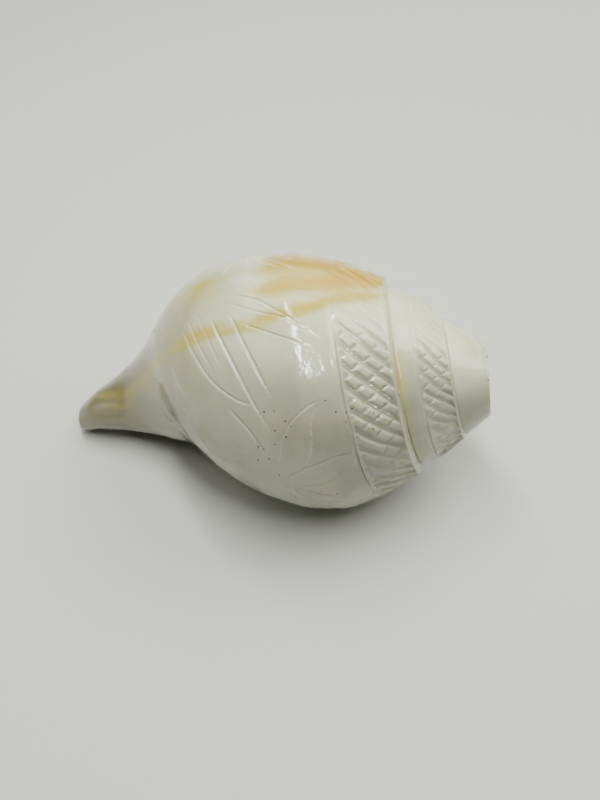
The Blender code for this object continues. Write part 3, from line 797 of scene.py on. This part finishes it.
# Streaks on old growth lines: three (s, azimuth) points, half width in degrees, strength, share of orange
STREAKS = (
    (((80.0, 61.0), (91.0, 64.0), (103.0, 56.0)), 9.0, 1.15, 0.8),
    (((101.0, 75.0), (108.0, 67.0), (117.0, 55.0)), 8.5, 1.1, 1.0),
    (((81.0, 88.0), (97.0, 82.0), (114.0, 70.0)), 4.2, 0.95, 0.7),
    (((62.0, 103.5), (90.0, 100.0), (116.0, 80.0)), 3.4, 0.8, 0.35),
    (((36.0, 98.0), (50.0, 102.0), (66.0, 104.0)), 4.8, 0.7, 0.3),
    (((34.0, 60.0), (48.0, 70.0), (66.0, 80.0)), 9.0, 0.75, 0.15),
    (((66.0, 72.0), (76.0, 73.0), (86.0, 72.0)), 5.0, 0.3, 0.2),
    (((6.0, 60.0), (18.0, 88.0), (40.0, 96.0)), 12.0, 0.5, 0.1),
    (((80.0, 82.0), (98.0, 78.0), (118.0, 68.0)), 21.0, 0.75, 0.25),
    (((14.0, 110.0), (20.0, 118.0), (26.0, 116.0)), 10.0, 0.4, 0.2),
    (((92.0, 176.0), (98.0, 176.0), (105.0, 173.0)), 5.0, 0.25, 0.9),
    (((52.0, 18.0), (82.0, 16.0), (112.0, 6.0)), 6.0, 0.7, 0.6),
    (((30.0, -8.0), (65.0, -12.0), (100.0, -18.0)), 5.0, 0.55, 0.5),
    (((60.0, 262.0), (90.0, 258.0), (120.0, 246.0)), 5.0, 0.6, 0.6),
    (((56.0, 304.0), (88.0, 302.0), (122.0, 290.0)), 8.0, 0.8, 0.8),
    (((118.0, 424.0), (126.0, 420.0), (134.0, 414.0)), 7.0, 0.3, 0.4),
    (((120.0, 594.0), (128.0, 590.0), (136.0, 584.0)), 9.0, 0.3, 0.4),
)
# Where the small dark pits are thick, as (s, azimuth)
PIT_CLUSTERS = ((84.0, 137.0), (78.0, 154.0), (81.0, 166.0), (92.0, 148.0), (105.0, 138.0), (99.0, 181.0),
                (36.0, 119.0), (114.0, 152.0), (133.0, 152.0), (72.0, 222.0), (95.0, 290.0), (60.0, 20.0))
PIT_SPREAD = 7.0
PIT_CROWDING = 0.42

# Noise over the shell, as degrees round it and millimetres along it to one cell
GROWTH_LINES = (6.0, 60.0)
WAVER = (40.0, 14.0)
CRINKLE = (2.4, 1.4)
WAVER_REACH = 9.0  # degrees by which a streak wanders
# and in the open, as cells to a metre
CLOUDS = 38.0
SCRATCHES = 260.0
PITS = 620.0
GRAIN = 900.0
FIBRES = 140.0


# ---- What the material needs to know at each point ----
def store(mesh, name, values):
    """Keep one number for each vertex under a name that the material reads."""
    attribute = mesh.attributes.new(name, "FLOAT", "POINT")
    attribute.data.foreach_set("value", np.asarray(values, np.float32))


def pit_clusters(s, azimuth, radius):
    """How thick the small pits are, from 0 to 1."""
    total = np.zeros_like(s)
    for at_s, at_azimuth in PIT_CLUSTERS:
        away = np.hypot(s - at_s, np.radians(azimuth - at_azimuth) * radius)
        total = total + np.exp(-(away / PIT_SPREAD) ** 2)
    return np.clip(total, 0.0, 1.0)


def mark_surface(shell):
    """Write where each vertex lies on the shell, for the material's streaks, stains, painted light and
    painted shade.
    """
    mesh = shell.data
    world = np.zeros(len(mesh.vertices) * 3, np.float32)
    mesh.vertices.foreach_get("co", world)
    back = np.array(LIE_DOWN.inverted())
    local = (world.reshape(-1, 3) @ back[:3, :3].T + back[:3, 3]) / MM
    s = local[:, 0]
    z = local[:, 2] + canal_sag(s)
    radius = np.hypot(local[:, 1], z)
    azimuth = (np.degrees(np.arctan2(z, local[:, 1])) - LIP_AZIMUTH) % 360.0 + LIP_AZIMUTH
    for _ in range(TURNS):
        azimuth = np.where(s > suture(azimuth) + 0.3, azimuth + 360.0, azimuth)
    outside = radius_at(np.maximum(s, 0.5), azimuth)
    below = outside - radius
    carved = carved_depth(s, azimuth, outside, False)
    stroke = stroke_depth(s, azimuth, outside) * (azimuth < LIP_AZIMUTH + 360.0) * (below < 2.0)
    crease = (s - suture(azimuth - 360.0)) / scale(azimuth - 360.0)
    store(mesh, "along", s)
    store(mesh, "azimuth", azimuth)
    store(mesh, "inside", smooth_step(1.6, 3.2, below) * (s < CUT - 0.6))
    store(mesh, "carved", np.clip(carved, 0.0, 1.0))
    store(mesh, "stroke", smooth_step(0.05, 0.28, stroke))
    store(mesh, "speckle", pit_clusters(s, azimuth, outside))
    store(mesh, "cut_end", smooth_step(CUT - 0.9, CUT - 0.1, s))
    store(mesh, "chip", chipped(s, azimuth) * (below < 2.0))
    store(mesh, "crease", np.exp(-((crease - 1.0) / 1.6) ** 2) * (azimuth > LIP_AZIMUTH + 360.0))


# ---- Materials ----
class Nodes:
    """Short ways to add and link shader nodes."""

    def __init__(self, material):
        material.use_nodes = True
        self.tree = material.node_tree
        self.shader = self.tree.nodes["Principled BSDF"]

    def add(self, kind, **settings):
        node = self.tree.nodes.new(kind)
        for key, value in settings.items():
            setattr(node, key, value)
        return node

    def link(self, source, target):
        self.tree.links.new(source, target)

    def value(self, name):
        return self.add("ShaderNodeAttribute", attribute_name=name).outputs["Fac"]

    def math(self, operation, a, b=0.0):
        node = self.add("ShaderNodeMath", operation=operation)
        for socket, item in zip(node.inputs, (a, b)):
            if isinstance(item, (int, float)):
                socket.default_value = item
            else:
                self.link(item, socket)
        return node.outputs[0]

    def plus(self, a, b):
        return self.math("ADD", a, b)

    def minus(self, a, b):
        return self.math("SUBTRACT", a, b)

    def times(self, a, b):
        return self.math("MULTIPLY", a, b)

    def bell(self, value, middle, reach):
        """1 at a middle value, going to 0 on both sides of it."""
        away = self.math("DIVIDE", self.minus(value, middle), reach)
        return self.math("EXPONENT", self.times(self.times(away, away), -1.0))

    def spread(self, value, low, high, to_low=0.0, to_high=1.0):
        """A smooth step between two values."""
        node = self.add("ShaderNodeMapRange", interpolation_type="SMOOTHSTEP")
        self.link(value, node.inputs["Value"])
        node.inputs["From Min"].default_value = low
        node.inputs["From Max"].default_value = high
        node.inputs["To Min"].default_value = to_low
        node.inputs["To Max"].default_value = to_high
        return node.outputs["Result"]

    def mix(self, factor, a, b):
        node = self.add("ShaderNodeMix", data_type="RGBA")
        for socket, item in ((node.inputs[0], factor), (node.inputs[6], a), (node.inputs[7], b)):
            if isinstance(item, tuple):
                socket.default_value = (*item, 1.0)
            else:
                self.link(item, socket)
        return node.outputs[2]

    def on_shell(self, cell):
        """A place on the shell, counted in cells of so many degrees and millimetres."""
        node = self.add("ShaderNodeCombineXYZ")
        self.link(self.math("DIVIDE", self.value("azimuth"), cell[0]), node.inputs["X"])
        self.link(self.math("DIVIDE", self.value("along"), cell[1]), node.inputs["Y"])
        return node.outputs[0]

    def noise(self, vector, size, detail, roughness=0.55):
        node = self.add("ShaderNodeTexNoise")
        self.link(vector, node.inputs["Vector"])
        node.inputs["Scale"].default_value = size
        node.inputs["Detail"].default_value = detail
        node.inputs["Roughness"].default_value = roughness
        return node.outputs["Fac"]

    def bump(self, height, distance, normal=None):
        node = self.add("ShaderNodeBump")
        node.inputs["Distance"].default_value = distance
        self.link(height, node.inputs["Height"])
        if normal is not None:
            self.link(normal, node.inputs["Normal"])
        return node


def streak(n, s, azimuth, points, half, strength):
    """Strength of one streak, whose middle line is a parabola through three (s, azimuth) points."""
    (s0, a0), (s1, a1), (s2, a2) = points
    slope = (a1 - a0) / (s1 - s0)
    bend_rate = ((a2 - a1) / (s2 - s1) - slope) / (s2 - s0)
    line = n.plus(n.times(n.minus(s, s1), bend_rate), slope)
    line = n.times(line, n.minus(s, s0))
    body = n.bell(n.minus(azimuth, a0), line, half)
    soft = 0.22 * (s2 - s0) + 1.0
    ends = n.times(n.spread(s, s0 - soft, s0 + soft), n.spread(s, s2 - soft, s2 + soft, 1.0, 0.0))
    return n.times(n.times(body, ends), strength)


def ground_with_painted_light(n, around, azimuth, lines, clouds):
    """Painted shade (pearl) in front and below and painted light (milky white) above and behind, with
    cloudy tone and faint growth lines.
    """
    start, end, shift = PAINTED_LIGHT_MOVES
    moved = n.minus(around, n.spread(azimuth, start, end, 0.0, shift))
    # share of painted light: above and behind, with painted shade in front and below, plus cloudy tone
    painted_light = n.plus(n.spread(moved, *PAINTED_LIGHT_ENDS, 1.0, 0.0), n.spread(around, *PAINTED_LIGHT_STARTS))
    painted_light = n.plus(n.times(painted_light, 0.7), n.spread(clouds, 0.35, 0.65, 0.0, 0.3))
    colour = n.mix(painted_light, PEARL_PAINTED_SHADE, MILK_PAINTED_LIGHT)
    return n.mix(n.times(n.spread(lines, 0.52, 0.78), 0.16), colour, YELLOW)


def stained_colour(n, colour, s, azimuth, lines, clouds):
    """The tan neck and canal, and the yellow and orange streaks over them."""
    top = n.bell(azimuth, *TAN_TOP)
    outer = n.minus(1.0, n.value("inside"))
    neck = n.times(n.spread(s, *NECK_ENDS, 1.0, 0.0), n.times(top, 0.75))
    colour = n.mix(n.times(neck, outer), colour, NECK_TAN)
    canal = n.times(n.plus(n.times(top, 0.25), 0.65), n.spread(s, *CANAL_ENDS, 1.0, 0.0))
    canal = n.times(canal, outer)
    colour = n.mix(canal, colour, CANAL_TAN)
    waver = n.noise(n.on_shell(WAVER), 1.0, 3.0)
    wavering = n.plus(azimuth, n.times(n.minus(waver, 0.5), WAVER_REACH))
    yellow = 0.0
    orange = 0.0
    for points, half, strength, share in STREAKS:
        body = streak(n, s, wavering, points, half, strength)
        yellow = n.plus(body, yellow)
        orange = n.plus(n.times(body, share), orange)
    yellow = n.times(n.times(yellow, outer), n.spread(lines, 0.25, 0.75, 0.55, 1.35))
    orange = n.times(n.times(orange, outer), n.spread(clouds, 0.30, 0.66, 0.55, 1.25))
    colour = n.mix(n.spread(yellow, 0.0, 1.1, 0.0, 0.95), colour, YELLOW)
    colour = n.mix(n.spread(orange, 0.05, 1.25, 0.0, 0.90), colour, ORANGE)
    return n.mix(n.times(n.times(canal, n.spread(yellow, 0.2, 0.9)), 0.75), colour, OLIVE)


def worn_colour(n, colour, around, azimuth, lines, pits):
    """The stained crease, the inside, the cut end, dust and painted shade in the carving, the paler cut
    lines, pits and chips.
    """
    stained = n.plus(n.times(n.bell(around, *CREASE_STAIN), 0.55), 0.12)
    stained = n.times(stained, n.spread(azimuth, *CREASE_STAIN_ENDS, 1.0, 0.0))
    colour = n.mix(n.times(n.value("crease"), stained), colour, YELLOW)
    colour = n.mix(n.times(n.value("inside"), 0.55), colour, PEACH)
    aged = n.spread(lines, 0.3, 0.6, 0.05, 0.35)
    colour = n.mix(n.times(n.value("cut_end"), aged), colour, YELLOW)
    # darker in the lattice cuts: dust and painted shade
    colour = n.mix(n.times(n.spread(n.value("carved"), 0.15, 0.9), 0.25), colour, DUST_AND_PAINTED_SHADE)
    # the leaf and flower cuts are made paler
    colour = n.mix(n.times(n.value("stroke"), 0.35), colour, PALE_CUT_LINES)
    colour = n.mix(n.times(pits, 0.85), colour, SPECK)
    return n.mix(n.spread(n.value("chip"), 0.25, 0.7, 0.0, 0.8), colour, SPECK)


def pit_share(n, position):
    """Small round pits: a few cells everywhere, and more of them in the clusters."""
    cells = n.add("ShaderNodeTexVoronoi", feature="F1")
    n.link(position, cells.inputs["Vector"])
    cells.inputs["Scale"].default_value = PITS
    chance = n.add("ShaderNodeSeparateColor")
    n.link(cells.outputs["Color"], chance.inputs[0])
    lucky = n.plus(chance.outputs[0], n.times(n.value("speckle"), PIT_CROWDING))
    size = n.spread(lucky, 0.965, 1.28, 0.0, 0.24)
    return n.spread(n.minus(size, cells.outputs["Distance"]), 0.0, 0.05)


def shell_material():
    """Polished shell under a clear coat, whose crinkles break up the highlight."""
    material = bpy.data.materials.new("polished chank")
    n = Nodes(material)
    s = n.value("along")
    azimuth = n.value("azimuth")
    around = n.math("FLOORED_MODULO", azimuth, 360.0)
    position = n.add("ShaderNodeTexCoord").outputs["Object"]
    lines = n.noise(n.on_shell(GROWTH_LINES), 1.0, 5.0, 0.6)
    clouds = n.noise(position, CLOUDS, 3.0)
    pits = pit_share(n, position)
    colour = ground_with_painted_light(n, around, azimuth, lines, clouds)
    colour = stained_colour(n, colour, s, azimuth, lines, clouds)
    colour = worn_colour(n, colour, around, azimuth, lines, pits)
    n.link(colour, n.shader.inputs["Base Color"])

    rough = n.spread(n.noise(position, GRAIN, 3.0), 0.35, 0.7, 0.16, 0.26)
    rough = n.plus(rough, n.times(n.value("carved"), 0.22))
    rough = n.plus(rough, n.times(n.value("cut_end"), 0.3))
    n.link(rough, n.shader.inputs["Roughness"])
    n.shader.inputs["Specular IOR Level"].default_value = 0.2
    n.shader.inputs["Coat Weight"].default_value = 0.7
    n.shader.inputs["Coat IOR"].default_value = 1.6
    n.shader.inputs["Coat Roughness"].default_value = 0.05
    n.shader.inputs["Subsurface Weight"].default_value = 0.12
    n.shader.inputs["Subsurface Radius"].default_value = (1.0, 0.75, 0.5)
    n.shader.inputs["Subsurface Scale"].default_value = 0.004

    height = n.plus(n.times(lines, 0.5), n.times(n.noise(position, SCRATCHES, 4.0), 0.5))
    bump = n.bump(n.minus(height, n.times(pits, 0.8)), 0.0006)
    bump.inputs["Strength"].default_value = 0.15
    n.link(bump.outputs["Normal"], n.shader.inputs["Normal"])
    crinkle = n.bump(n.noise(n.on_shell(CRINKLE), 1.0, 2.0, 0.5), 0.00011, bump.outputs["Normal"])
    n.link(crinkle.outputs["Normal"], n.shader.inputs["Coat Normal"])
    return material


def floor_material():
    """Pale paper."""
    material = bpy.data.materials.new("pale paper")
    n = Nodes(material)
    position = n.add("ShaderNodeTexCoord").outputs["Object"]
    n.link(n.mix(n.noise(position, FIBRES, 5.0), *PAPER), n.shader.inputs["Base Color"])
    n.shader.inputs["Roughness"].default_value = 0.75
    return material


# ---- Stage ----
FLOOR_HALF = 8.0  # in metres, as is all that follows
FLOOR_DROP = 0.0002  # the floor lies just under the worn spots
CEILING_HEIGHT = 0.62
# Soft panels overhead: name, place, size, power in watts
CEILING = (
    ("ceiling left", (-0.6, -0.08), (0.9, 0.36), 2.0),
    ("ceiling right", (0.6, 0.16), (0.9, 0.36), 6.4),
    ("ceiling right back", (0.6, 0.40), (0.9, 0.36), 2.0),
    ("ceiling back", (0.0, 0.75), (0.9, 0.60), 2.5),
    ("ceiling back right", (0.6, 0.75), (0.9, 0.60), 3.0),
)
TUBE_PLACE = (-0.035, 0.012, 0.50)  # the narrow lamp whose reflection lies down the shell
TUBE_SIZE = (0.03, 0.60)
TUBE_TURN = 23.05
TUBE_POWER = 4.0
WALL_POWER = 2.3
ROOM_POWER = 11.5
SKY = (0.95, 0.97, 1.0, 1.0)
SKY_STRENGTH = 0.04


def build_floor():
    bm = bmesh.new()
    bmesh.ops.create_grid(bm, x_segments=1, y_segments=1, size=FLOOR_HALF)
    floor = object_from(bm, "floor", Matrix.Translation((0.0, 0.0, -FLOOR_DROP)))
    floor.data.materials.append(floor_material())


def area_light(name, where, aim, size, power):
    light = bpy.data.lights.new(name, "AREA")
    light.shape = "RECTANGLE"
    light.size = size[0]
    light.size_y = size[1]
    light.energy = power
    obj = bpy.data.objects.new(name, light)
    bpy.context.scene.collection.objects.link(obj)
    obj.location = where
    obj.rotation_euler = (Vector(where) - Vector(aim)).to_track_quat("Z", "Y").to_euler()
    return obj


def build_lights():
    world = bpy.data.worlds.new("studio")
    world.use_nodes = True
    sky = world.node_tree.nodes["Background"]
    sky.inputs["Color"].default_value = SKY
    sky.inputs["Strength"].default_value = SKY_STRENGTH
    bpy.context.scene.world = world
    for name, (x, y), size, power in CEILING:
        area_light(name, (x, y, CEILING_HEIGHT), (x, y, 0.0), size, power)
    tube = area_light("tube", TUBE_PLACE, (*TUBE_PLACE[:2], 0.0), TUBE_SIZE, TUBE_POWER)
    tube.rotation_euler = (0.0, 0.0, math.radians(TUBE_TURN))
    area_light("back wall", (0.0, 1.1, 0.45), (0.0, 0.0, 0.03), (1.2, 0.4), WALL_POWER)
    area_light("room", (0.0, 0.0, 2.5), (0.0, 0.0, 0.0), (6.0, 6.0), ROOM_POWER)


# ---- Camera ----
CAMERA_TURN = -2.73  # in degrees, from straight in front
CAMERA_HEIGHT = 51.0  # above the horizontal
CAMERA_ROLL = 2.87
CAMERA_DISTANCE = 0.29055
CAMERA_AIM = (0.00839, -0.00635, 0.03108)
CAMERA_LENS = 38.25


def build_camera():
    a = math.radians(CAMERA_TURN)
    e = math.radians(CAMERA_HEIGHT)
    r = math.radians(CAMERA_ROLL)
    forward = Vector((-math.sin(a) * math.cos(e), math.cos(a) * math.cos(e), -math.sin(e)))
    level = Vector((math.cos(a), math.sin(a), 0.0))
    up = level.cross(forward)
    right = level * math.cos(r) + up * math.sin(r)
    up = up * math.cos(r) - level * math.sin(r)
    camera = bpy.data.cameras.new("camera")
    camera.lens = CAMERA_LENS
    camera.clip_start = 0.01
    obj = bpy.data.objects.new("camera", camera)
    bpy.context.scene.collection.objects.link(obj)
    turn = Matrix((right, up, -forward)).transposed().to_4x4()
    obj.matrix_world = Matrix.Translation(Vector(CAMERA_AIM) - forward * CAMERA_DISTANCE) @ turn
    bpy.context.scene.camera = obj


shell = build_shell()
mark_surface(shell)
shell.data.materials.clear()
shell.data.materials.append(shell_material())
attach(shell, "root")
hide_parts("shell")
build_floor()
build_lights()
build_camera()
